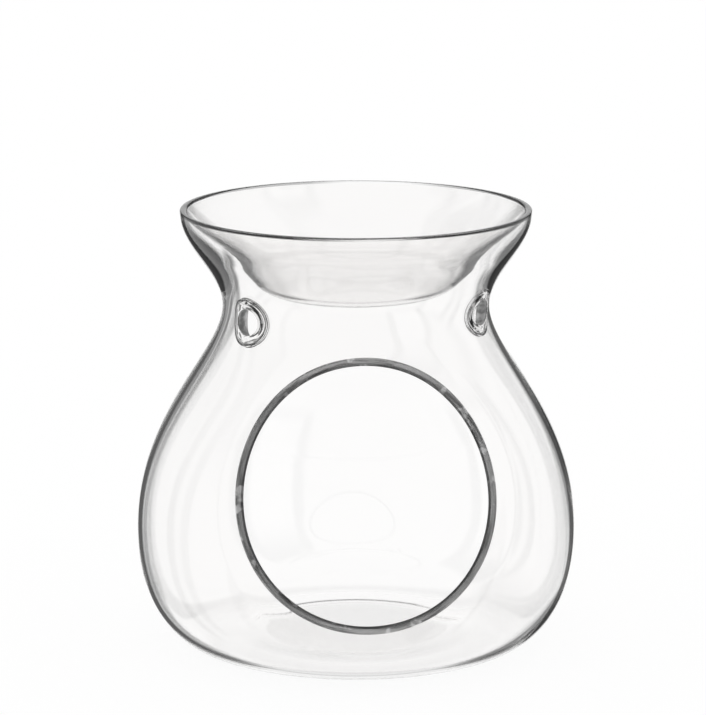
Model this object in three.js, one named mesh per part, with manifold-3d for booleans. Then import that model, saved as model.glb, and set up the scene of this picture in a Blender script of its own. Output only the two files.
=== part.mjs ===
// Clear blown-glass aroma lamp: a pear-shaped tea-light chamber with a narrow neck and a flared mouth,
// an oil bowl hung in the mouth, and two thick glass eyelets that let the warm air out of the neck.
// Millimetres, +Z up. The origin is the centre of the standing ring, and the front opening faces -Y.
import * as THREE from "three";
import { mergeVertices } from "three/addons/utils/BufferGeometryUtils.js";
import Module from "manifold-3d";

const wasm = await Module();
wasm.setup();

// Body: radii and heights of the outer wall, with the flare measured from the neck to the mouth
const overallHeight = 111;
const mouthRadius = 44;
const flareHeight = 23.6;
const neckRadius = 33.6;
const bellyRadius = 55.5;
const bellyHeight = 29.4;
const standRadius = 37.2;

// Body: how far the outer wall keeps its direction on each side of those heights
const mouthReach = 8.4;
const neckUpperReach = 9.3;
const neckLowerReach = 12.1;
const bellyUpperReach = 29.5;
const bellyLowerReach = 20.7;
const standReach = 8.2;

// Body: wall, and the floor pushed up inside the standing ring as the tea-light seat
const wall = 1.7;
const standWidth = 6;
const seatRadius = 23.5;
const seatRise = 1.1;

// Front opening: from its sill to the neck's lower end, wider below its middle, with a melted round edge
const openingHalfWidth = 30.9;
const openingSill = 16.5;
const openingNeckGap = 7.5;
const openingSag = 0.042;
const openingEdgeRadius = 1.1;

// Oil bowl: its underside from the middle to the rim, with the lean of the wall from upright in degrees.
// The wall gets thinner above the foot.
const bowlDepth = 22;
const bowlFootRadius = 24.9;
const bowlFootHeight = 4.3;
const bowlFootLean = 16;
const bowlFloorReach = 16.5;
const bowlFootLowerReach = 3.4;
const bowlFootUpperReach = 3.6;
const bowlMouthReach = 6;
const bowlMouthLean = 30;
const bowlWall = 1.6;
const bowlRimWall = 0.9;

// Rim: the bowl's rounded edge, which sits on the top of the mouth
const rimHeight = 0.8;
const rimEdge = 0.25;

// Vent eyelets: a ring with an oval section, in a hole through the neck. Each has its degrees from the front
// and its rise above the narrowest part of the neck, as set by hand.
const eyeletBore = 7.1;
const eyeletDiameter = 12;
const eyeletDepth = 4.2;
const eyeletGap = 0.3;
const eyelets = [
  { name: "vent_eyelet_left", degrees: -55, rise: -0.6 },
  { name: "vent_eyelet_right", degrees: 62, rise: 0.8 },
];

// Facets
const turnSteps = 48;
const wallSteps = 8;
const seatSteps = 4;
const bowlSteps = 6;
const rimSteps = 3;
const openingSteps = 60;
const openingEdgeSides = 8;
const eyeletTurnSteps = 24;
const eyeletSectionSteps = 10;
const mergeTolerance = 1e-4;

const mouthHeight = overallHeight - rimHeight;
const neckHeight = mouthHeight - flareHeight;
const openingHalfHeight = (neckHeight - openingNeckGap - openingSill) / 2;
const openingHeight = openingSill + openingHalfHeight;

function glass() {
  return new THREE.MeshStandardMaterial({
    color: 0xf2f5f5,
    roughness: 0.02,
    metalness: 0,
    transparent: true,
    opacity: 0.35,
  });
}

// A closed three.js geometry as a solid that can be cut and joined
function solidFrom(geometry) {
  const bare = geometry.clone();
  bare.deleteAttribute("normal");
  bare.deleteAttribute("uv");
  const merged = mergeVertices(bare, mergeTolerance);
  const index = merged.index.array;
  const triangles = [];
  for (let i = 0; i < index.length; i += 3) {
    const [a, b, c] = [index[i], index[i + 1], index[i + 2]];
    if (a !== b && b !== c && c !== a) triangles.push(a, b, c);
  }
  return new wasm.Manifold(new wasm.Mesh({
    numProp: 3,
    vertProperties: new Float32Array(merged.attributes.position.array),
    triVerts: new Uint32Array(triangles),
  }));
}

function geometryFrom(solid) {
  const { vertProperties, triVerts } = solid.getMesh();
  const geometry = new THREE.BufferGeometry();
  geometry.setAttribute("position", new THREE.BufferAttribute(new Float32Array(vertProperties), 3));
  geometry.setIndex(new THREE.BufferAttribute(new Uint32Array(triVerts), 1));
  geometry.computeVertexNormals();
  return geometry;
}

// A profile of (radius, height) points turned round the Z axis
function turned(profile, steps) {
  const geometry = new THREE.LatheGeometry(profile, steps);
  geometry.rotateX(Math.PI / 2);
  return geometry;
}

// A line moved sideways, to the left of its own direction, by a distance that can depend on the point.
// An end on the axis stays on the axis.
function offset(points, distanceAt) {
  return points.map((point, i) => {
    const before = points[Math.max(i - 1, 0)];
    const after = points[Math.min(i + 1, points.length - 1)];
    const along = after.clone().sub(before);
    if (point.x === 0) along.y = 0;
    along.normalize().multiplyScalar(distanceAt(point));
    return new THREE.Vector2(point.x - along.y, point.y + along.x);
  });
}

// Underside of the body from its middle, over the edge of the raised seat, to the standing ring
function bodyUnderside() {
  const standInner = standRadius - standWidth;
  const slope = (standInner - seatRadius) / 2;
  const path = new THREE.Path();
  path.moveTo(0, seatRise);
  path.lineTo(seatRadius, seatRise);
  path.bezierCurveTo(seatRadius + slope, seatRise, standInner - slope, 0, standInner, 0);
  return path.getPoints(seatSteps);
}

// Outside of the wall from the standing ring, over belly and neck, to the top of the mouth
function bodySide() {
  const path = new THREE.Path();
  path.moveTo(standRadius, 0);
  path.bezierCurveTo(
    standRadius + standReach, 0,
    bellyRadius, bellyHeight - bellyLowerReach,
    bellyRadius, bellyHeight,
  );
  path.bezierCurveTo(
    bellyRadius, bellyHeight + bellyUpperReach,
    neckRadius, neckHeight - neckLowerReach,
    neckRadius, neckHeight,
  );
  path.bezierCurveTo(
    neckRadius, neckHeight + neckUpperReach,
    mouthRadius, mouthHeight - mouthReach,
    mouthRadius, mouthHeight,
  );
  return path.getPoints(wallSteps);
}

// Front view of the opening's edge, once round for t from 0 to 1
function openingEdgeAt(t) {
  const angle = 2 * Math.PI * t;
  const spread = 1 - openingSag * Math.sin(angle);
  return new THREE.Vector2(
    openingHalfWidth * spread * Math.cos(angle),
    openingHeight + openingHalfHeight * Math.sin(angle),
  );
}

// The opening's edge laid on the middle of the curved front wall
class OpeningEdge extends THREE.Curve {
  constructor() {
    super();
    this.wallMiddle = offset(bodySide(), () => wall / 2);
  }

  radiusAt(height) {
    const above = this.wallMiddle.findIndex((point) => point.y >= height);
    const [low, high] = [this.wallMiddle[above - 1], this.wallMiddle[above]];
    return low.x + ((high.x - low.x) * (height - low.y)) / (high.y - low.y);
  }

  getPoint(t, target = new THREE.Vector3()) {
    const edge = openingEdgeAt(t);
    const depth = Math.sqrt(this.radiusAt(edge.y) ** 2 - edge.x ** 2);
    return target.set(edge.x, -depth, edge.y);
  }
}

function openingCutter() {
  const outline = [];
  for (let i = 0; i < openingSteps; i += 1) outline.push(openingEdgeAt(i / openingSteps));
  const cutter = new THREE.ExtrudeGeometry(new THREE.Shape(outline), {
    depth: 2 * bellyRadius,
    bevelEnabled: false,
  });
  cutter.rotateX(Math.PI / 2);
  return cutter;
}

// Place of an eyelet in the neck: its own Z axis points straight out of the wall
function eyeletPlace({ degrees, rise }) {
  const turn = new THREE.Matrix4().makeRotationZ(THREE.MathUtils.degToRad(degrees));
  const outward = new THREE.Matrix4().makeRotationX(Math.PI / 2);
  outward.setPosition(0, wall / 2 - neckRadius, neckHeight + rise);
  return turn.multiply(outward);
}

function eyeletHole(eyelet) {
  const radius = eyeletDiameter / 2 + eyeletGap;
  const hole = new THREE.CylinderGeometry(radius, radius, neckRadius, eyeletTurnSteps);
  hole.rotateX(Math.PI / 2);
  hole.applyMatrix4(eyeletPlace(eyelet));
  return hole;
}

function bodyGeometry() {
  const outside = [...bodyUnderside(), ...bodySide()];
  const inside = offset(outside, () => wall).reverse();
  inside[0].set(mouthRadius - wall, mouthHeight);
  const edgeLine = new OpeningEdge();
  const edge = new THREE.TubeGeometry(edgeLine, openingSteps, openingEdgeRadius, openingEdgeSides, true);
  let body = solidFrom(turned([...outside, ...inside], turnSteps));
  body = body.subtract(solidFrom(openingCutter())).add(solidFrom(edge));
  for (const eyelet of eyelets) body = body.subtract(solidFrom(eyeletHole(eyelet)));
  return geometryFrom(body);
}

// Underside of the bowl from its middle, round its foot, to where its rim starts
function bowlUnderside() {
  const bottom = overallHeight - bowlDepth;
  const foot = bottom + bowlFootHeight;
  const rimInner = mouthRadius - wall;
  const footLean = THREE.MathUtils.degToRad(bowlFootLean);
  const mouthLean = THREE.MathUtils.degToRad(bowlMouthLean);
  const path = new THREE.Path();
  path.moveTo(0, bottom);
  path.bezierCurveTo(
    bowlFloorReach, bottom,
    bowlFootRadius - bowlFootLowerReach * Math.sin(footLean),
    foot - bowlFootLowerReach * Math.cos(footLean),
    bowlFootRadius, foot,
  );
  path.bezierCurveTo(
    bowlFootRadius + bowlFootUpperReach * Math.sin(footLean),
    foot + bowlFootUpperReach * Math.cos(footLean),
    rimInner - bowlMouthReach * Math.sin(mouthLean),
    mouthHeight - bowlMouthReach * Math.cos(mouthLean),
    rimInner, mouthHeight,
  );
  return path.getPoints(bowlSteps);
}

// Round top of the rim, from its outer edge to the inside of the bowl
function rimCrown(inner) {
  const top = (mouthRadius + inner.x) / 2;
  const reach = (mouthRadius - inner.x) / 4;
  const path = new THREE.Path();
  path.moveTo(mouthRadius, mouthHeight + rimEdge);
  path.bezierCurveTo(mouthRadius, overallHeight, top + reach, overallHeight, top, overallHeight);
  path.bezierCurveTo(top - reach, overallHeight, inner.x + reach, overallHeight, inner.x, inner.y);
  return path.getPoints(rimSteps);
}

// Thickness of the bowl at a point of its underside
function bowlWallAt(point) {
  const foot = overallHeight - bowlDepth + bowlFootHeight;
  const rise = THREE.MathUtils.clamp((point.y - foot) / (mouthHeight - foot), 0, 1);
  return THREE.MathUtils.lerp(bowlWall, bowlRimWall, rise);
}

function bowlGeometry() {
  const underside = bowlUnderside();
  const inside = offset(underside, bowlWallAt).reverse();
  const seat = new THREE.Vector2(mouthRadius, mouthHeight);
  const profile = [...underside, seat, ...rimCrown(inside[0]), ...inside.slice(1)];
  return geometryFrom(solidFrom(turned(profile, turnSteps)));
}

function eyeletGeometry() {
  const ringRadius = (eyeletDiameter + eyeletBore) / 4;
  const halfWidth = (eyeletDiameter - eyeletBore) / 4;
  const section = new THREE.EllipseCurve(ringRadius, 0, halfWidth, eyeletDepth / 2);
  return geometryFrom(solidFrom(turned(section.getPoints(eyeletSectionSteps), eyeletTurnSteps)));
}

function named(name, geometry) {
  const mesh = new THREE.Mesh(geometry, glass());
  mesh.name = name;
  return mesh;
}

const lamp = new THREE.Group();
lamp.add(named("lamp_body", bodyGeometry()));
lamp.add(named("oil_bowl", bowlGeometry()));
for (const eyelet of eyelets) {
  const ring = named(eyelet.name, eyeletGeometry());
  ring.applyMatrix4(eyeletPlace(eyelet));
  lamp.add(ring);
}

export default lamp;
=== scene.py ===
import math

import bpy
import numpy as np
from mathutils import Euler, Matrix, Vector
from mathutils.geometry import delaunay_2d_cdt


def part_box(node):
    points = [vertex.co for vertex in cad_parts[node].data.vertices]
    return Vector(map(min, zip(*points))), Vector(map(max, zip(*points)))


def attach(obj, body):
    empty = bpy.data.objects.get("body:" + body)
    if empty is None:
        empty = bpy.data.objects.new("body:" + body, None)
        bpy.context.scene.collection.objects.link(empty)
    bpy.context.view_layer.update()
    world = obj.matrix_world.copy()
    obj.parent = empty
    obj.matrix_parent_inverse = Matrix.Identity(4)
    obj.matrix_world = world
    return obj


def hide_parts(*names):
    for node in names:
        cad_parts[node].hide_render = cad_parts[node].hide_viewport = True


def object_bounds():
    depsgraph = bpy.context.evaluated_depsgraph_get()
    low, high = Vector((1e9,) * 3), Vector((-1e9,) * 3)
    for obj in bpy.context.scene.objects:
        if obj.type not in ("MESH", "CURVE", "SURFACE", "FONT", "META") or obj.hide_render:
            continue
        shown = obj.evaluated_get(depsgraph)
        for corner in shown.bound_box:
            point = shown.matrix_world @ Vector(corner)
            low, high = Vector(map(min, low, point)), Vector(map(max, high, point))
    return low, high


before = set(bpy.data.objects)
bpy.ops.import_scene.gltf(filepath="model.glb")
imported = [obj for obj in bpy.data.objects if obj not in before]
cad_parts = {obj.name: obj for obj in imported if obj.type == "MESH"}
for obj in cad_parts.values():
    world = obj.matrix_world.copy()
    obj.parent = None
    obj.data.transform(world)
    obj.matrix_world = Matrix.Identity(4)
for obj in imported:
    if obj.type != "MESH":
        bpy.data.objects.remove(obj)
cad_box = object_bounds()

MM = 0.001
BODY_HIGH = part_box("lamp_body")[1]
BOWL_LOW, BOWL_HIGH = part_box("oil_bowl")

# Body: radii and heights of the outer wall, from the frame where it has them
TOP = BOWL_HIGH.z
MOUTH_TOP = BODY_HIGH.z
MOUTH_RADIUS = BOWL_HIGH.x
BELLY_RADIUS = BODY_HIGH.x
NECK_RADIUS = 33.6 * MM
NECK_HEIGHT = MOUTH_TOP - 23.6 * MM
BELLY_HEIGHT = 29.4 * MM
STAND_RADIUS = 37.2 * MM
STAND_WIDTH = 6 * MM
SEAT_RADIUS = 23.5 * MM
SEAT_RISE = 0.8 * MM
WALL = 1.7 * MM

# Body: how far the outer wall keeps its direction on each side of those heights
MOUTH_REACH = 8.4 * MM
NECK_UPPER_REACH = 9.3 * MM
NECK_LOWER_REACH = 12.1 * MM
BELLY_UPPER_REACH = 29.5 * MM
BELLY_LOWER_REACH = 20.7 * MM
STAND_REACH = 8.2 * MM

# Front opening, which is wider below its middle than above it by the sag
OPENING_HALF_WIDTH = 30.9 * MM
OPENING_SILL = 16.5 * MM
OPENING_NECK_GAP = 7.5 * MM
OPENING_HALF_HEIGHT = (NECK_HEIGHT - OPENING_NECK_GAP - OPENING_SILL) / 2
OPENING_HEIGHT = OPENING_SILL + OPENING_HALF_HEIGHT
OPENING_SAG = 0.042

# Fire-polished lip of the opening, which dips and then turns outward from the wall until it faces forward
LIP_LIFT = math.radians(13)
LIP_FACING = (0, -math.cos(LIP_LIFT), math.sin(LIP_LIFT))
LIP_RADIUS = 1.05 * MM
LIP_HALF = 1.0 * MM
LIP_TIP = 0.5 * MM
LIP_SQUARENESS = 4.0
LIP_DIP = 0.6 * MM
LIP_REACH = 1.1 * MM
LIP_BLEND = 8.0 * MM
LIP_TIP_STEPS = 10
LIP_BEND_STEPS = 8
LIP_BLEND_STEPS = 6

# Oil bowl: its underside from the middle to the rim, and its wall
BOWL_BOTTOM = BOWL_LOW.z
BOWL_FOOT_RADIUS = 26.3 * MM
BOWL_FOOT_HEIGHT = 4.6 * MM
BOWL_FOOT_LEAN = math.radians(47)
BOWL_FLOOR_REACH = 16.5 * MM
BOWL_FOOT_LOWER_REACH = 5.5 * MM
BOWL_FOOT_UPPER_REACH = 6.0 * MM
BOWL_MOUTH_REACH = 6 * MM
BOWL_MOUTH_LEAN = math.radians(30)
BOWL_WALL = 1.0 * MM
BOWL_RIM_WALL = 0.55 * MM

# Rim of the bowl: an upright outer edge and a rounded crown
RIM_EDGE = 0.6 * MM
RIM_OUTER_DROP = 0.06 * MM
RIM_INNER_REACH = 0.36 * MM
RIM_CROWN_SHARE = 0.28

# Vent eyelets: rings melted into the neck, each with its place from the frame
EYELETS = ["vent_eyelet_left", "vent_eyelet_right"]
EYELET_BORE = 7.1 * MM
EYELET_DIAMETER = 12 * MM
EYELET_RING = (EYELET_DIAMETER + EYELET_BORE) / 4
EYELET_HALF_WIDTH = (EYELET_DIAMETER - EYELET_BORE) / 4
EYELET_HALF_DEPTH = 1.35 * MM
EYELET_FLAT = 5.0 * MM
EYELET_SQUARENESS = 6.0
EYELET_JOINT = 6.2 * MM
EYELET_STEPS = 24

# Painted shade on an eyelet, as dull grey glass: the wall of its bore on the far side, and a band on its
# outer skin
EYELET_BORE_PAINTED_SHADE = 0.25 * MM
EYELET_FAR_SIDE = 0.1
EYELET_PAINTED_SHADE_BAND = (5.85 * MM, 6.25 * MM)

# Unevenness of the blown wall: the inside wanders in waves, the outside keeps its form.
# Each wave has its number round the lamp, its turn per metre of height, its phase and its share of the wall.
UNEVEN_WAVES = [(1, 0, 0.25, -0.15), (2, 55, 0.6, 0.05), (3, -120, 2.1, 0.03)]
UNEVEN_START = 4 * MM
UNEVEN_FADE = 14 * MM
FLARE_THICKENING = 0.3
FLARE_SIDES = 10
FLARE_MIDDLE = NECK_HEIGHT + 11 * MM
FLARE_SPREAD = 8 * MM
MOUTH_THINNING = 0.27
MOUTH_FADE = 10 * MM

# Net of the wall: a grid that stays clear of the rings round the opening and the vents
COLUMNS = 240
ROW_STEP = 1.35 * MM
SEAM = math.radians(120)
EDGE_POINTS = 240
VENT_POINTS = 72
VENT_RINGS = [EYELET_JOINT, 6.5 * MM, 6.9 * MM, 7.5 * MM, 8.3 * MM]
VENT_CLEAR = 9.2 * MM
LIP_CLEAR = LIP_BLEND + 0.8 * MM
NET_MM_PER_RADIAN = 45
NET_TOLERANCE = 1e-7
CURVE_STEPS = 400
BOWL_STEP = 1.1 * MM
RIM_STEP = 0.16 * MM
ON_AXIS = 1e-9
SLOPE_STEP = 0.002 * MM
UNEVEN_STEP = 0.2 * MM

# Material numbers of faces. The third carries painted shade on the lip, on a bore's far wall and on the rim.
# The fourth is the tinted seat of the body and the band of painted shade on an eyelet's outer skin.
GLASS, JOINT, PAINTED_SHADE_EDGE, TINT_AND_PAINTED_SHADE = range(4)


def smooth(x):
    x = np.clip(x, 0, 1)
    return x * x * (3 - 2 * x)


def full_turn(count, start=0.0):
    """Angles in equal steps round a full turn."""
    return (np.arange(count) + start) * 2 * math.pi / count


def unit(vectors):
    return vectors / np.linalg.norm(vectors, axis=1)[:, None]


def bezier(a, b, c, d):
    t = np.linspace(0, 1, CURVE_STEPS + 1)[1:, None]
    a, b, c, d = (np.array(p, float) for p in (a, b, c, d))
    return (1 - t) ** 3 * a + 3 * (1 - t) ** 2 * t * b + 3 * (1 - t) * t ** 2 * c + t ** 3 * d


def straight(a, b):
    t = np.linspace(0, 1, CURVE_STEPS + 1)[1:, None]
    return np.array(a, float) * (1 - t) + np.array(b, float) * t


def directions(line):
    """Unit direction of a polyline at each of its points."""
    return unit(np.gradient(line, axis=0))


def lengths(line):
    """Way along a polyline to each of its points."""
    steps = np.linalg.norm(np.diff(line, axis=0), axis=1)
    return np.concatenate([[0], np.cumsum(steps)])


def resample(line, step):
    """The same line with points about a step apart."""
    ways = lengths(line)
    count = max(int(round(ways[-1] / step)), 2)
    at = np.linspace(0, ways[-1], count + 1)
    return np.column_stack([np.interp(at, ways, line[:, 0]), np.interp(at, ways, line[:, 1])])


def around(phi, radius, height):
    """Point at an angle from the front (-Y), positive towards +X."""
    return np.stack([radius * np.sin(phi), -radius * np.cos(phi), height + 0 * phi], axis=-1)


def body_profile():
    """Outside of the body as (radius, height), from the middle of its floor to the top of the mouth."""
    stand_inner = STAND_RADIUS - STAND_WIDTH
    slope = (stand_inner - SEAT_RADIUS) / 2
    seat = (SEAT_RADIUS, SEAT_RISE)
    belly = (BELLY_RADIUS, BELLY_HEIGHT)
    neck = (NECK_RADIUS, NECK_HEIGHT)
    mouth = (MOUTH_RADIUS, MOUTH_TOP)
    return np.vstack([
        [(0, SEAT_RISE)],
        straight((0, SEAT_RISE), seat),
        bezier(seat, (SEAT_RADIUS + slope, SEAT_RISE), (stand_inner - slope, 0), (stand_inner, 0)),
        straight((stand_inner, 0), (STAND_RADIUS, 0)),
        bezier((STAND_RADIUS, 0), (STAND_RADIUS + STAND_REACH, 0),
               (BELLY_RADIUS, BELLY_HEIGHT - BELLY_LOWER_REACH), belly),
        bezier(belly, (BELLY_RADIUS, BELLY_HEIGHT + BELLY_UPPER_REACH),
               (NECK_RADIUS, NECK_HEIGHT - NECK_LOWER_REACH), neck),
        bezier(neck, (NECK_RADIUS, NECK_HEIGHT + NECK_UPPER_REACH),
               (MOUTH_RADIUS, MOUTH_TOP - MOUTH_REACH), mouth),
    ])


OUTER = body_profile()
OUTER_DIRECTION = directions(OUTER)
NORMAL = np.column_stack([OUTER_DIRECTION[:, 1], -OUTER_DIRECTION[:, 0]])
NORMAL[0] = (0, -1)
NORMAL[-1] = (1, 0)
MIDDLE = OUTER - NORMAL * WALL / 2
MIDDLE[0, 0] = 0
ALONG = lengths(MIDDLE)
SIDE_START = int(np.argmax(OUTER[:, 0] > STAND_RADIUS))


def along_at(height):
    """Way along the middle of the wall to a height on the lamp's side."""
    return np.interp(height, MIDDLE[SIDE_START:, 1], ALONG[SIDE_START:])


def radius_at(along):
    return np.interp(along, ALONG, MIDDLE[:, 0])


def height_at(along):
    return np.interp(along, ALONG, MIDDLE[:, 1])


def wall_frame(phi, along):
    """Middle point, outward normal, direction round and direction up of the wall."""
    point = around(phi, radius_at(along), height_at(along))
    n_r = np.interp(along, ALONG, NORMAL[:, 0])
    n_z = np.interp(along, ALONG, NORMAL[:, 1])
    size = np.hypot(n_r, n_z)
    n_r, n_z = n_r / size, n_z / size
    normal = around(phi, n_r, n_z)
    side = np.stack([np.cos(phi), np.sin(phi), 0 * phi], axis=-1)
    up = around(phi, -n_z, n_r)
    return point, normal, side, up


def unevenness(phi, along):
    """How much thicker than WALL the wall is, as a share."""
    height = height_at(along)
    wander = sum(share * np.sin(number * phi + turn * height + phase)
                 for number, turn, phase, share in UNEVEN_WAVES)
    flare = np.exp(-((height - FLARE_MIDDLE) / FLARE_SPREAD) ** 2) * np.abs(np.sin(phi)) ** FLARE_SIDES
    wander = wander + FLARE_THICKENING * flare
    fade = smooth((MOUTH_TOP - height) / UNEVEN_FADE) * smooth((height - UNEVEN_START) / UNEVEN_FADE)
    thinning = MOUTH_THINNING * smooth(1 - (MOUTH_TOP - height) / MOUTH_FADE)
    return wander * fade - thinning


def uneven_slope(phi, along):
    """Slope of the unevenness round and up the wall, per metre."""
    turn = UNEVEN_STEP / np.maximum(radius_at(along), MM)
    across = 2 * UNEVEN_STEP
    round_slope = (unevenness(phi + turn, along) - unevenness(phi - turn, along)) / across
    up_slope = (unevenness(phi, along + UNEVEN_STEP) - unevenness(phi, along - UNEVEN_STEP)) / across
    return round_slope, up_slope


def plain_section(half, slope, lift=0, lift_slope=0):
    """Outer and inner point of a wall section and their normals, each as (away, out)."""
    return (0, lift + half, -lift_slope - slope, 1, 0, lift - half, lift_slope - slope, -1)


def bent_section(way, middle, turn, swing=math.pi / 2):
    """Section of the lip where the wall has turned outward. A swing below a quarter turn lies on its tip."""
    forward = np.array([-np.cos(turn), np.sin(turn)])
    out = np.array([np.sin(turn), np.cos(turn)])
    power = 2 / LIP_SQUARENESS
    along = max(math.cos(swing), 0)
    across = math.sin(swing)
    reach = LIP_TIP * along ** power * forward
    spread = LIP_HALF * across ** power * out
    facing = along ** (2 - power) / LIP_TIP * forward
    sideways = across ** (2 - power) / LIP_HALF * out
    at = middle + reach - np.array([way, 0 * way])
    return (*(at + spread), *(facing + sideways), *(at - spread), *(facing - sideways))


def lip_sections(lip_turn):
    """The opening's lip from its tip to the plain wall: nominal way from the edge line, and section."""
    start = LIP_RADIUS * np.sin(lip_turn) + LIP_HALF - LIP_REACH
    blend = LIP_BLEND - start

    def bend_middle(turn):
        return np.array([start - LIP_RADIUS * np.sin(turn), LIP_RADIUS * (1 - np.cos(turn)) - LIP_DIP])

    sections = []
    for swing in np.linspace(0, math.pi / 2, LIP_TIP_STEPS + 1):
        way = start - LIP_RADIUS * lip_turn - LIP_TIP * math.cos(swing)
        sections.append((way, bent_section(way, bend_middle(lip_turn), lip_turn, swing)))
    for share in np.linspace(1, 0, LIP_BEND_STEPS + 1)[1:]:
        turn = lip_turn * share
        way = start - LIP_RADIUS * turn
        sections.append((way, bent_section(way, bend_middle(turn), turn)))
    for share in np.linspace(0, 1, LIP_BLEND_STEPS + 1)[1:]:
        rise = smooth(share)
        steepness = 6 * share * (1 - share) / blend
        half = LIP_HALF + (WALL / 2 - LIP_HALF) * rise
        half_slope = (WALL / 2 - LIP_HALF) * steepness
        section = plain_section(half, half_slope, LIP_DIP * (rise - 1), LIP_DIP * steepness)
        sections.append((start + blend * share, section))
    return sections


def eyelet_half(rho):
    """Half thickness of the neck's wall at a way rho from the middle of an eyelet, and its slope."""
    def half(x):
        share = np.clip(np.abs(x - EYELET_RING) / EYELET_HALF_WIDTH, 0, 1)
        bore_side = EYELET_HALF_DEPTH * (1 - share ** EYELET_SQUARENESS) ** (1 / EYELET_SQUARENESS)
        fall = smooth((x - EYELET_FLAT) / (EYELET_DIAMETER / 2 - EYELET_FLAT))
        wall_side = EYELET_HALF_DEPTH + (WALL / 2 - EYELET_HALF_DEPTH) * fall
        return np.where(x > EYELET_RING, wall_side, bore_side)

    slope = (half(rho + SLOPE_STEP) - half(rho - SLOPE_STEP)) / (2 * SLOPE_STEP)
    return half(rho), slope


def opening_edge():
    """Edge of the front opening on the wall: angle, way along, and the direction away from the opening."""
    t = full_turn(EDGE_POINTS)
    x = OPENING_HALF_WIDTH * (1 - OPENING_SAG * np.sin(t)) * np.cos(t)
    along = along_at(OPENING_HEIGHT + OPENING_HALF_HEIGHT * np.sin(t))
    radius = radius_at(along)
    phi = np.arcsin(x / radius)
    d_round = (np.roll(phi, -1) - np.roll(phi, 1)) * radius
    d_up = np.roll(along, -1) - np.roll(along, 1)
    size = np.hypot(d_round, d_up)
    return phi, along, d_up / size, -d_round / size


def opening_contains(phi, along, margin):
    """Whether a point on the wall lies in the opening or within the margin round it."""
    lift = (height_at(along) - OPENING_HEIGHT) / (OPENING_HALF_HEIGHT + margin)
    width = (OPENING_HALF_WIDTH * (1 - OPENING_SAG * lift) + margin) * np.sqrt(np.maximum(1 - lift ** 2, 0))
    facing = np.cos(phi) > 0
    return facing & (np.abs(lift) < 1) & (np.abs(radius_at(along) * np.sin(phi)) < width)


def eyelet_place(name):
    """Angle and way along the wall of an eyelet's middle."""
    low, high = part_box(name)
    middle = (low + high) / 2
    return math.atan2(middle.x, -middle.y), float(along_at(middle.z))


def vent_ring(place, rho):
    """Ring round an eyelet on the neck's wall: angle, way along, and the direction away from its middle."""
    t = full_turn(VENT_POINTS)
    along = place[1] + rho * np.sin(t)
    phi = place[0] + rho * np.cos(t) / radius_at(along)
    return phi, along, np.cos(t), np.sin(t)


class Net:
    """Points on the wall, each with its section there and the direction that the section lies in."""

    def __init__(self):
        self.rows = []
        self.count = 0

    def add(self, phi, along, section=plain_section(WALL / 2, 0), away_round=0, away_up=0, ease=1.0):
        """Add points and return their numbers. The ease is the share of the wall's unevenness there."""
        zero = np.zeros(len(phi))
        values = (phi, along, away_round, away_up, ease, *section)
        self.rows.append(np.column_stack([zero + value for value in values]))
        first = self.count
        self.count += len(phi)
        return np.arange(first, self.count)

    def table(self):
        return np.vstack(self.rows)

    def away(self):
        """Direction on the wall that each point's section lies in."""
        phi, along, away_round, away_up = self.table()[:, :4].T
        _, _, side, up = wall_frame(phi, along)
        return side * away_round[:, None] + up * away_up[:, None]

    def skins(self):
        """Outer and inner points and their normals."""
        phi, along, _, _, ease = self.table()[:, :5].T
        section = self.table()[:, 5:, None]
        point, normal, side, up = wall_frame(phi, along)
        away = self.away()
        extra = WALL * unevenness(phi, along) * ease
        round_slope, up_slope = uneven_slope(phi, along)
        tilt = (side * round_slope[:, None] + up * up_slope[:, None]) * (WALL * ease)[:, None]
        outer = point + away * section[:, 0] + normal * section[:, 1]
        outer_normal = unit(away * section[:, 2] + normal * section[:, 3])
        inner = point + away * section[:, 4] + normal * (section[:, 5] - extra[:, None])
        inner_normal = unit(unit(away * section[:, 6] + normal * section[:, 7]) - tilt)
        return outer, inner, outer_normal, inner_normal


class Shape:
    """Faces of one piece, with a normal at each corner and a material number for each face."""

    def __init__(self):
        self.points = []
        self.count = 0
        self.faces = []
        self.normals = []
        self.materials = []

    def add_points(self, points):
        first = self.count
        self.points.append(np.asarray(points, float))
        self.count += len(points)
        return np.arange(first, self.count)

    def add_face(self, face, corner_normals, material):
        self.faces.append([int(i) for i in face])
        self.normals.extend([tuple(n) for n in corner_normals])
        self.materials.append(int(material))

    def add_faces(self, faces, normals, materials):
        """normals: one for each corner of each face; materials: one number, or one for each face."""
        for face, corner_normals, material in zip(faces, normals, np.broadcast_to(materials, len(faces))):
            self.add_face(face, corner_normals, material)

    def add_joint(self, loop, outer_ids, inner_ids, normals):
        """Faces across the wall along a closed loop, where one piece is melted to the next."""
        for a, b in zip(loop, np.roll(loop, -1)):
            self.add_face((outer_ids[a], inner_ids[a], inner_ids[b], outer_ids[b]),
                          (normals[a], normals[a], normals[b], normals[b]), JOINT)

    def build(self, name, materials, node):
        mesh = bpy.data.meshes.new(name)
        mesh.from_pydata(np.vstack(self.points).tolist(), [], self.faces)
        for material in materials:
            mesh.materials.append(material)
        mesh.polygons.foreach_set("material_index", self.materials)
        mesh.polygons.foreach_set("use_smooth", [True] * len(self.faces))
        mesh.update()
        mesh.normals_split_custom_set(self.normals)
        piece = bpy.data.objects.new(name, mesh)
        bpy.context.scene.collection.objects.link(piece)
        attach(piece, "root")
        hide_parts(node)
        return piece


def past_seam(phi):
    """The same angle within one turn from the seam, where the wall is cut to lay it flat."""
    return SEAM + np.mod(phi - SEAM, 2 * math.pi)


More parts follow.
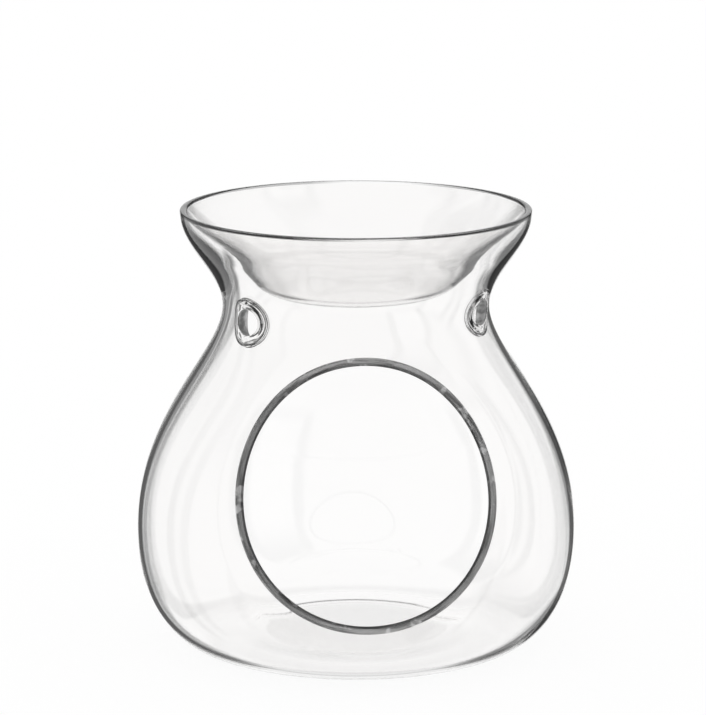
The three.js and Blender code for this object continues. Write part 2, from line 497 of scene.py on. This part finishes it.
def add_lip(net):
    """Rings of the opening's lip, from its tip outward."""
    edge_phi, edge_along, edge_round, edge_up = opening_edge()
    _, normal, side, up = wall_frame(edge_phi, edge_along)
    away = side * edge_round[:, None] + up * edge_up[:, None]
    lip_turn = np.arctan2(normal @ LIP_FACING, -(away @ LIP_FACING))
    rings = []
    for way, section in lip_sections(lip_turn):
        phi = past_seam(edge_phi + way * edge_round / radius_at(edge_along))
        along = edge_along + way * edge_up
        rings.append(net.add(phi, along, section, edge_round, edge_up, smooth(way / LIP_BLEND)))
    return rings


def add_vent(net, place):
    """Rings of the neck's wall round an eyelet. The first is the joint."""
    rings = []
    for rho in VENT_RINGS:
        phi, along, away_round, away_up = vent_ring(place, rho)
        section = plain_section(*eyelet_half(rho))
        rings.append(net.add(past_seam(phi), along, section, away_round, away_up))
    return rings


def add_grid(net, places):
    """Rows of points on the plain wall, from the floor up: their numbers, and -1 where there is no point."""
    phi = SEAM + np.arange(COLUMNS + 1) * 2 * math.pi / COLUMNS
    row_count = int(round(ALONG[-1] / ROW_STEP))
    grid = []
    for row in np.linspace(0, ALONG[-1], row_count + 1)[1:]:
        along = np.full(COLUMNS + 1, row)
        taken = opening_contains(phi, along, LIP_CLEAR)
        for place_phi, place_along in places:
            off = (np.mod(phi - place_phi + math.pi, 2 * math.pi) - math.pi) * radius_at(along)
            taken |= np.hypot(off, along - place_along) < VENT_CLEAR
        ids = np.full(COLUMNS + 1, -1)
        ids[~taken] = net.add(phi[~taken], along[~taken])
        grid.append(ids)
    return np.array(grid)


def wall_triangles(net, loops):
    """Triangles between the points of the wall, laid flat, with the loops left open."""
    plane = [(phi * NET_MM_PER_RADIAN, along / MM) for phi, along in net.table()[:, :2]]
    edges = [(int(a), int(b)) for loop in loops for a, b in zip(loop, np.roll(loop, -1))]
    _, _, faces, origins, _, _ = delaunay_2d_cdt(plane, edges, [], 0, NET_TOLERANCE)
    triangles = np.array([origin[0] for origin in origins])[np.array(faces)]
    loop_number = np.full(net.count, -1)
    for number, loop in enumerate(loops):
        loop_number[loop] = number
    a, b, c = loop_number[triangles].T
    return triangles[~((a >= 0) & (a == b) & (b == c))]


def lip_streaks(count, rings, outer_ids, inner_ids):
    """Place of each point of the lip in the noise of its streaks of painted shade, which run along it."""
    turn = full_turn(EDGE_POINTS)
    streaks = np.zeros((count, 3))
    for number, ring in enumerate(rings):
        for ids, across in ((inner_ids[ring], -number), (outer_ids[ring], number)):
            streaks[ids, 0] = np.cos(turn) * STREAK_TURN
            streaks[ids, 1] = np.sin(turn) * STREAK_TURN
            streaks[ids, 2] = across * STREAK_ACROSS
    return streaks


def lamp_body(materials):
    """Blown body: both skins of its wall, the middle of its floor, and the joints at the mouth and vents."""
    net = Net()
    lip_rings = add_lip(net)
    places = [eyelet_place(name) for name in EYELETS]
    vent_loops = [add_vent(net, place)[0] for place in places]
    grid = add_grid(net, places)
    weld = np.arange(net.count)
    weld[grid[:, -1]] = grid[:, 0]
    triangles = weld[wall_triangles(net, [lip_rings[0], *vent_loops])]

    outer, inner, outer_normal, inner_normal = net.skins()
    shape = Shape()
    outer_ids = shape.add_points(outer)
    inner_ids = shape.add_points(inner)
    tip = lip_rings[0]
    inner_ids[tip] = outer_ids[tip]
    tip_normal = unit(outer_normal[tip] + inner_normal[tip])
    outer_normal[tip] = tip_normal
    inner_normal[tip] = tip_normal

    # The lip takes the dull lip glass, painted dark grey as painted shade.
    is_lip = np.zeros(net.count, bool)
    is_lip[np.concatenate(lip_rings[:LIP_TIP_STEPS])] = True
    is_seat = net.table()[:, 1] < SEAT_RADIUS
    material = np.where(is_seat[triangles].all(axis=1), TINT_AND_PAINTED_SHADE, GLASS)
    material = np.where(is_lip[triangles].any(axis=1), PAINTED_SHADE_EDGE, material)
    turned = triangles[:, ::-1]
    shape.add_faces(outer_ids[triangles], outer_normal[triangles], material)
    shape.add_faces(inner_ids[turned], inner_normal[turned], material)

    down, upward = (0, 0, -1), (0, 0, 1)
    low_middle, high_middle = shape.add_points([(0, 0, SEAT_RISE), (0, 0, SEAT_RISE + WALL)])
    first_row = grid[0, :-1]
    for a, b in zip(first_row, np.roll(first_row, -1)):
        shape.add_face((outer_ids[a], low_middle, outer_ids[b]),
                       (outer_normal[a], down, outer_normal[b]), TINT_AND_PAINTED_SHADE)
        shape.add_face((inner_ids[a], inner_ids[b], high_middle),
                       (inner_normal[a], inner_normal[b], upward), TINT_AND_PAINTED_SHADE)
    shape.add_joint(grid[-1, :-1][::-1], outer_ids, inner_ids, np.broadcast_to(upward, outer.shape))
    for loop in vent_loops:
        shape.add_joint(loop, outer_ids, inner_ids, -net.away())

    streaks = lip_streaks(shape.count, lip_rings[:LIP_TIP_STEPS + 1], outer_ids, inner_ids)
    piece = shape.build("lamp_body_glass", materials, "lamp_body")
    piece.data.attributes.new("streak", "FLOAT_VECTOR", "POINT").data.foreach_set("vector", streaks.ravel())
    return piece


def vent_eyelet(name, materials):
    """Thick ring in the neck, from its bore out to the joint with the neck's wall."""
    net = Net()
    place = eyelet_place(name)
    bore = EYELET_BORE / 2
    rhos = EYELET_RING - EYELET_HALF_WIDTH * np.cos(np.linspace(0, math.pi, EYELET_STEPS + 1))
    rhos = np.append(rhos, EYELET_JOINT)
    rings = []
    for rho in rhos:
        phi, along, away_round, away_up = vent_ring(place, rho)
        ease = smooth((rho - bore) / EYELET_HALF_WIDTH)
        rings.append(net.add(phi, along, plain_section(*eyelet_half(rho)), away_round, away_up, ease))

    outer, inner, outer_normal, inner_normal = net.skins()
    away = net.away()
    shape = Shape()
    outer_ids = shape.add_points(outer)
    inner_ids = shape.add_points(inner)
    rim = rings[0]
    inner_ids[rim] = outer_ids[rim]
    outer_normal[rim] = -away[rim]
    inner_normal[rim] = -away[rim]

    far_side = np.cos(full_turn(VENT_POINTS, 0.5)) * np.sign(place[0]) > EYELET_FAR_SIDE
    for near, far, rho in zip(rings[:-1], rings[1:], rhos[1:]):
        # Painted shade: the bore's wall on the far side is painted dull grey.
        painted_bore = far_side & (rho < bore + EYELET_BORE_PAINTED_SHADE)
        # Painted shade: a narrow band of the outer skin next to the joint is painted dark grey, for a dark
        # outline.
        outer_skin = TINT_AND_PAINTED_SHADE if EYELET_PAINTED_SHADE_BAND[0] < rho < EYELET_PAINTED_SHADE_BAND[1] else GLASS
        quads = np.column_stack([near, far, np.roll(far, -1), np.roll(near, -1)])
        turned = quads[:, ::-1]
        shape.add_faces(outer_ids[quads], outer_normal[quads], np.where(painted_bore, PAINTED_SHADE_EDGE, outer_skin))
        shape.add_faces(inner_ids[turned], inner_normal[turned], np.where(painted_bore, PAINTED_SHADE_EDGE, GLASS))
    shape.add_joint(rings[-1][::-1], outer_ids, inner_ids, away)
    return shape.build(name + "_glass", materials, name)


def bowl_profile():
    """Lines of (radius, height), each with its material, from below over the rim to the inside."""
    foot = np.array([BOWL_FOOT_RADIUS, BOWL_BOTTOM + BOWL_FOOT_HEIGHT])
    lean = np.array([math.sin(BOWL_FOOT_LEAN), math.cos(BOWL_FOOT_LEAN)])
    mouth_lean = np.array([math.sin(BOWL_MOUTH_LEAN), math.cos(BOWL_MOUTH_LEAN)])
    joint_outer = np.array([MOUTH_RADIUS, MOUTH_TOP])
    joint_inner = np.array([MOUTH_RADIUS - WALL * (1 - MOUTH_THINNING), MOUTH_TOP])
    under = np.vstack([
        [(0, BOWL_BOTTOM)],
        bezier((0, BOWL_BOTTOM), (BOWL_FLOOR_REACH, BOWL_BOTTOM), foot - BOWL_FOOT_LOWER_REACH * lean, foot),
        bezier(foot, foot + BOWL_FOOT_UPPER_REACH * lean,
               joint_inner - BOWL_MOUTH_REACH * mouth_lean, joint_inner),
    ])
    along = directions(under)
    along[0] = (1, 0)
    rise = np.clip((under[:, 1] - foot[1]) / (MOUTH_TOP - foot[1]), 0, 1)
    wall = BOWL_WALL + (BOWL_RIM_WALL - BOWL_WALL) * rise
    inside = under + np.column_stack([-along[:, 1], along[:, 0]]) * wall[:, None]
    inside[0, 0] = 0
    inner_edge = inside[-1]
    outer_edge = np.array([MOUTH_RADIUS, MOUTH_TOP + RIM_EDGE])
    crown_top = np.array([(MOUTH_RADIUS + inner_edge[0]) / 2, TOP])
    crown_reach = np.array([(MOUTH_RADIUS - inner_edge[0]) * RIM_CROWN_SHARE, 0])
    crown = np.vstack([
        [outer_edge],
        bezier(outer_edge, (MOUTH_RADIUS, TOP - RIM_OUTER_DROP), crown_top + crown_reach, crown_top),
        bezier(crown_top, crown_top - crown_reach, inner_edge + mouth_lean * RIM_INNER_REACH, inner_edge),
    ])
    return [
        (resample(under, BOWL_STEP), GLASS),
        (np.array([joint_inner, joint_outer]), JOINT),
        # The outer edge and the crown of the rim take the rim's glass, painted grey at the sides as painted
        # shade.
        (np.array([joint_outer, outer_edge]), PAINTED_SHADE_EDGE),
        (resample(crown, RIM_STEP), PAINTED_SHADE_EDGE),
        (resample(inside[::-1], BOWL_STEP), GLASS),
    ]


def oil_bowl(materials):
    """Blown bowl with its rim, turned from its profile."""
    shape = Shape()
    phi = full_turn(COLUMNS)
    made = {}

    def ring_at(point):
        """Ring of points that all lines through this point share."""
        key = (round(point[0] / MM, 4), round(point[1] / MM, 4))
        if key not in made:
            if point[0] < ON_AXIS:
                made[key] = np.repeat(shape.add_points([(0, 0, point[1])]), COLUMNS)
            else:
                made[key] = shape.add_points(around(phi, point[0], point[1]))
        return made[key]

    for line, material in bowl_profile():
        along = directions(line)
        if line[0][0] < ON_AXIS:
            along[0] = (1, 0)
        if line[-1][0] < ON_AXIS:
            along[-1] = (-1, 0)
        rings = [ring_at(point) for point in line]
        normals = [around(phi, d[1], -d[0]) for d in along]
        for low, high, n_low, n_high in zip(rings[:-1], rings[1:], normals[:-1], normals[1:]):
            faces = np.column_stack([low, np.roll(low, -1), np.roll(high, -1), high])
            next_low, next_high = np.roll(n_low, -1, axis=0), np.roll(n_high, -1, axis=0)
            corners = np.stack([n_low, next_low, next_high, n_high], axis=1)
            kept = [0, 1, 2, 3]
            if low[0] == low[1]:
                kept = [0, 2, 3]
            elif high[0] == high[1]:
                kept = [0, 1, 2]
            shape.add_faces(faces[:, kept], corners[:, kept], material)
    return shape.build("oil_bowl_glass", materials, "oil_bowl")


# Glass: its tints, and the ripples of its surface, each as a scale and a strength
GLASS_IOR = 1.47
CLEAR_TINT = (0.992, 0.988, 0.985)
SEAT_TINT = (0.945, 0.94, 0.935)
SEAT_ROUGHNESS = 0.1
RIPPLE_DEPTH = 0.1 * MM
RIPPLE_DETAIL = 2.0
BODY_RIPPLE = ((40, 40, 18), 0.02)
BOWL_RIPPLE = ((16, 16, 330), 0.2)
EYELET_RIPPLE = ((90, 90, 90), 0.03)
EDGE_RIPPLE = ((90, 90, 90), 0.1)

# Lip of the opening: dull, painted dark grey as painted shade in streaks along it, and flecks, each from a
# range of a noise
STREAK_TURN = 3.4
STREAK_ACROSS = 0.3
STREAK_DETAIL = 3.0
LIP_STREAKS = (0.38, 0.6)
LIP_PAINTED_SHADE_GREYS = (0.04, 0.2)
LIP_FLECKS = (0.59, 0.69)
LIP_FLECK_GREY = 0.5
LIP_FLECK_SCALE = 300
LIP_ROUGHNESS = 0.5
LIP_CLEARNESS = 0.75

# Rim of the bowl: painted shade, grey at the sides, and clear in a stretch that lies a little to the right of
# the middle
RIM_PAINTED_SHADE = 0.33
RIM_CLEAR = 0.96
RIM_ROUGHNESS = 0.15
RIM_CLEAR_MIDDLE = 8 * MM
RIM_CLEAR_HALF = (6 * MM, 20 * MM)

# Painted shade on the eyelets, as dull grey glass: two greys, the scale of the flecks between them, roughness
# and clearness
PAINTED_SHADE_FLECKS = (0.4, 0.62)
BORE_PAINTED_SHADE_LOOK = ((0.35, 0.85), 500, 0.5, 0.55)
EYELET_PAINTED_SHADE_LOOK = ((0.02, 0.2), 250, 0.1, 1.0)


def feed(tree, socket, value):
    """Set a socket to a number, or link it to another node's output."""
    if isinstance(value, (int, float)):
        socket.default_value = value
    else:
        tree.links.new(value, socket)


def math_node(tree, operation, *values):
    node = tree.nodes.new("ShaderNodeMath")
    node.operation = operation
    for socket, value in zip(node.inputs, values):
        feed(tree, socket, value)
    return node.outputs[0]


def ramp(tree, value, start, end, low, high):
    """Smooth step from low to high while the value goes from start to end."""
    node = tree.nodes.new("ShaderNodeMapRange")
    node.interpolation_type = "SMOOTHSTEP"
    tree.links.new(value, node.inputs["Value"])
    node.inputs["From Min"].default_value = start
    node.inputs["From Max"].default_value = end
    node.inputs["To Min"].default_value = low
    node.inputs["To Max"].default_value = high
    return node.outputs["Result"]


def mixed(tree, a, b, share):
    node = tree.nodes.new("ShaderNodeMix")
    node.data_type = "FLOAT"
    for socket, value in zip((node.inputs[0], node.inputs[2], node.inputs[3]), (share, a, b)):
        feed(tree, socket, value)
    return node.outputs[0]


def noise(tree, place, detail):
    node = tree.nodes.new("ShaderNodeTexNoise")
    node.inputs["Scale"].default_value = 1.0
    node.inputs["Detail"].default_value = detail
    tree.links.new(place, node.inputs["Vector"])
    return node.outputs["Fac"]


def object_place(tree, scale):
    """Place on the piece, stretched by a scale for each axis."""
    place = tree.nodes.new("ShaderNodeTexCoord")
    stretch = tree.nodes.new("ShaderNodeMapping")
    stretch.inputs["Scale"].default_value = scale
    tree.links.new(place.outputs["Object"], stretch.inputs["Vector"])
    return stretch.outputs["Vector"]


def glass_material(name, tint, ripple, roughness=0.0, clearness=1.0):
    material = bpy.data.materials.new(name)
    material.use_nodes = True
    tree = material.node_tree
    shader = tree.nodes["Principled BSDF"]
    shader.inputs["Base Color"].default_value = (*tint, 1)
    shader.inputs["Roughness"].default_value = roughness
    shader.inputs["IOR"].default_value = GLASS_IOR
    shader.inputs["Transmission Weight"].default_value = clearness
    scale, strength = ripple
    bump = tree.nodes.new("ShaderNodeBump")
    bump.inputs["Strength"].default_value = strength
    bump.inputs["Distance"].default_value = RIPPLE_DEPTH
    tree.links.new(noise(tree, object_place(tree, scale), RIPPLE_DETAIL), bump.inputs["Height"])
    tree.links.new(bump.outputs["Normal"], shader.inputs["Normal"])
    return material


def set_grey(tree, grey):
    tree.links.new(grey, tree.nodes["Principled BSDF"].inputs["Base Color"])


def fleck_noise(tree, scale):
    return noise(tree, object_place(tree, (scale, scale, scale)), RIPPLE_DETAIL)


def painted_shade_material(name, greys, fleck_scale, roughness, clearness):
    """Painted shade as dull melted glass: grey, with paler flecks."""
    material = glass_material(name, (greys[0],) * 3, EDGE_RIPPLE, roughness, clearness)
    tree = material.node_tree
    set_grey(tree, ramp(tree, fleck_noise(tree, fleck_scale), *PAINTED_SHADE_FLECKS, *greys))
    return material


def lip_material():
    """Dull melted lip, painted dark grey as painted shade: grey streaks along it, with paler flecks."""
    material = glass_material("lip_painted_shade_glass", (LIP_PAINTED_SHADE_GREYS[1],) * 3, EDGE_RIPPLE, LIP_ROUGHNESS, LIP_CLEARNESS)
    tree = material.node_tree
    place = tree.nodes.new("ShaderNodeAttribute")
    place.attribute_name = "streak"
    streak = noise(tree, place.outputs["Vector"], STREAK_DETAIL)
    grey = ramp(tree, streak, *LIP_STREAKS, *LIP_PAINTED_SHADE_GREYS)
    fleck = ramp(tree, fleck_noise(tree, LIP_FLECK_SCALE), *LIP_FLECKS, 0.0, 1.0)
    set_grey(tree, mixed(tree, grey, LIP_FLECK_GREY, fleck))
    return material


def rim_material():
    """Melted rim: dull, painted grey at the sides as painted shade, and clear over a stretch in front and
    behind.
    """
    material = glass_material("rim_painted_shade_glass", (RIM_CLEAR,) * 3, EDGE_RIPPLE, RIM_ROUGHNESS)
    tree = material.node_tree
    place = tree.nodes.new("ShaderNodeTexCoord")
    split = tree.nodes.new("ShaderNodeSeparateXYZ")
    tree.links.new(place.outputs["Object"], split.inputs["Vector"])
    off = math_node(tree, "ABSOLUTE", math_node(tree, "SUBTRACT", split.outputs["X"], RIM_CLEAR_MIDDLE))
    set_grey(tree, ramp(tree, off, *RIM_CLEAR_HALF, RIM_CLEAR, RIM_PAINTED_SHADE))
    return material


def joint_material():
    """Melted joint inside the glass, where one piece runs into the next and nothing is seen."""
    material = bpy.data.materials.new("melted_joint")
    material.use_nodes = True
    tree = material.node_tree
    tree.nodes.clear()
    clear = tree.nodes.new("ShaderNodeBsdfTransparent")
    out = tree.nodes.new("ShaderNodeOutputMaterial")
    tree.links.new(clear.outputs["BSDF"], out.inputs["Surface"])
    return material


# Camera, at the photograph's height, distance and angle
CAMERA_DISTANCE = 0.920
CAMERA_HEIGHT = 0.2664
CAMERA_TURN = math.radians(3.4)
CAMERA_AIM = math.radians(3.354)
CAMERA_PITCH = math.radians(11.882)
CAMERA_LENS = 187.8
CAMERA_SENSOR = 36


def studio_camera():
    data = bpy.data.cameras.new("camera")
    data.lens = CAMERA_LENS
    data.sensor_width = CAMERA_SENSOR
    camera = bpy.data.objects.new("camera", data)
    camera.location = (
        -CAMERA_DISTANCE * math.sin(CAMERA_TURN),
        -CAMERA_DISTANCE * math.cos(CAMERA_TURN),
        CAMERA_HEIGHT,
    )
    camera.rotation_euler = Euler((math.pi / 2 - CAMERA_PITCH, 0, -CAMERA_AIM))
    bpy.context.scene.collection.objects.link(camera)
    bpy.context.scene.camera = camera


# White studio: white to the eye. The glass shows a white screen behind the lamp, the dark gap round the
# screen, and the pale room beyond. There is a screen on each side that the lamp is looked at from, with its
# turn and the end of its gap in degrees, and whether plain reflections show it.
SCREENS = [(3.4, 28, True), (-45, 19.5, False), (-90, 19.5, False), (135, 19.5, True)]
SCREEN_SIDE = (math.radians(11.5), math.radians(14.5))
SCREEN_LOW = (math.radians(-50), math.radians(-40))
SCREEN_HIGH = (math.radians(6), math.radians(46))
GAP_SOFTNESS = math.radians(4)
GAP_LOW = (math.radians(-52), math.radians(-42))
GAP_HIGH = (math.radians(46), math.radians(56))
GAP_LEVEL = 0.12
ROOM_LEVEL = 0.86
POLE_LEVEL = 0.75
POLE_START = (math.radians(48), math.radians(66))


def glass_rays(tree):
    """Whether a ray comes from the glass, and whether it came through the glass."""
    path = tree.nodes.new("ShaderNodeLightPath")
    refracted = path.outputs["Is Transmission Ray"]
    return math_node(tree, "MAXIMUM", path.outputs["Is Glossy Ray"], refracted), refracted


def band(tree, value, rise, fall):
    """1 between a rise and a fall, and 0 outside them."""
    return math_node(tree, "MULTIPLY", ramp(tree, value, *rise, 0.0, 1.0), ramp(tree, value, *fall, 1.0, 0.0))


def studio_world():
    world = bpy.data.worlds.new("studio")
    bpy.context.scene.world = world
    world.use_nodes = True
    tree = world.node_tree
    background = tree.nodes["Background"]
    background.inputs["Color"].default_value = (1, 1, 1, 1)
    place = tree.nodes.new("ShaderNodeTexCoord")
    split = tree.nodes.new("ShaderNodeSeparateXYZ")
    tree.links.new(place.outputs["Generated"], split.inputs["Vector"])
    turn = math_node(tree, "ARCTAN2", split.outputs["X"], split.outputs["Y"])
    lift = math_node(tree, "ARCSINE", split.outputs["Z"])
    room = ramp(tree, math_node(tree, "ABSOLUTE", lift), *POLE_START, ROOM_LEVEL, POLE_LEVEL)
    from_glass, refracted = glass_rays(tree)
    gap = 0.0
    screen = 0.0
    for degrees, gap_end, mirrored in SCREENS:
        off = math_node(tree, "SUBTRACT", turn, math.radians(degrees))
        off = math_node(tree, "ABSOLUTE", math_node(tree, "WRAP", off, math.pi, -math.pi))
        end = math.radians(gap_end)
        this_gap = ramp(tree, off, end - GAP_SOFTNESS / 2, end + GAP_SOFTNESS / 2, 1.0, 0.0)
        this_screen = ramp(tree, off, *SCREEN_SIDE, 1.0, 0.0)
        if not mirrored:
            this_gap = math_node(tree, "MULTIPLY", this_gap, refracted)
            this_screen = math_node(tree, "MULTIPLY", this_screen, refracted)
        gap = math_node(tree, "MAXIMUM", this_gap, gap)
        screen = math_node(tree, "MAXIMUM", this_screen, screen)
    gap = math_node(tree, "MULTIPLY", gap, band(tree, lift, GAP_LOW, GAP_HIGH))
    screen = math_node(tree, "MULTIPLY", screen, band(tree, lift, SCREEN_LOW, SCREEN_HIGH))
    shown = mixed(tree, mixed(tree, room, GAP_LEVEL, gap), 1.0, screen)
    tree.links.new(mixed(tree, 1.0, shown, from_glass), background.inputs["Strength"])


# Floor: a glow that is nearly white, with a little grey that takes the lamp's shadow
FLOOR_HALF = 3.0
FLOOR_DROP = 0.02 * MM
FLOOR_GLOW = 0.94
FLOOR_GREY = 0.06


def floor_material():
    """The eye sees the floor, and the glass sees the studio through it."""
    material = bpy.data.materials.new("floor")
    material.use_nodes = True
    tree = material.node_tree
    tree.nodes.clear()
    diffuse = tree.nodes.new("ShaderNodeBsdfDiffuse")
    diffuse.inputs["Color"].default_value = (FLOOR_GREY, FLOOR_GREY, FLOOR_GREY, 1)
    glow = tree.nodes.new("ShaderNodeEmission")
    glow.inputs["Strength"].default_value = FLOOR_GLOW
    both = tree.nodes.new("ShaderNodeAddShader")
    clear = tree.nodes.new("ShaderNodeBsdfTransparent")
    choose = tree.nodes.new("ShaderNodeMixShader")
    out = tree.nodes.new("ShaderNodeOutputMaterial")
    tree.links.new(diffuse.outputs["BSDF"], both.inputs[0])
    tree.links.new(glow.outputs["Emission"], both.inputs[1])
    tree.links.new(glass_rays(tree)[0], choose.inputs["Fac"])
    tree.links.new(both.outputs["Shader"], choose.inputs[1])
    tree.links.new(clear.outputs["BSDF"], choose.inputs[2])
    tree.links.new(choose.outputs["Shader"], out.inputs["Surface"])
    return material


def studio_floor():
    mesh = bpy.data.meshes.new("floor")
    corners = [(-FLOOR_HALF, -FLOOR_HALF, 0), (FLOOR_HALF, -FLOOR_HALF, 0),
               (FLOOR_HALF, FLOOR_HALF, 0), (-FLOOR_HALF, FLOOR_HALF, 0)]
    mesh.from_pydata(corners, [], [(0, 1, 2, 3)])
    mesh.materials.append(floor_material())
    floor = bpy.data.objects.new("floor", mesh)
    floor.location.z = cad_box[0][2] - FLOOR_DROP
    bpy.context.scene.collection.objects.link(floor)


body_glass = glass_material("body_glass", CLEAR_TINT, BODY_RIPPLE)
bowl_glass = glass_material("bowl_glass", CLEAR_TINT, BOWL_RIPPLE)
eyelet_glass = glass_material("eyelet_glass", CLEAR_TINT, EYELET_RIPPLE)
# The lip, the far walls of the bores, the outer bands of the eyelets and the rim carry painted shade.
lip_painted_shade_glass = lip_material()
bore_painted_shade_glass = painted_shade_material("bore_painted_shade_glass", *BORE_PAINTED_SHADE_LOOK)
eyelet_painted_shade_glass = painted_shade_material("eyelet_painted_shade_glass", *EYELET_PAINTED_SHADE_LOOK)
rim_painted_shade_glass = rim_material()
seat_glass = glass_material("seat_glass", SEAT_TINT, BODY_RIPPLE, SEAT_ROUGHNESS)
melted_joint = joint_material()

lamp_body([body_glass, melted_joint, lip_painted_shade_glass, seat_glass])
oil_bowl([bowl_glass, melted_joint, rim_painted_shade_glass])
for eyelet in EYELETS:
    vent_eyelet(eyelet, [eyelet_glass, melted_joint, bore_painted_shade_glass, eyelet_painted_shade_glass])

studio_camera()
studio_world()
studio_floor()
bpy.context.scene.view_settings.view_transform = "Standard"
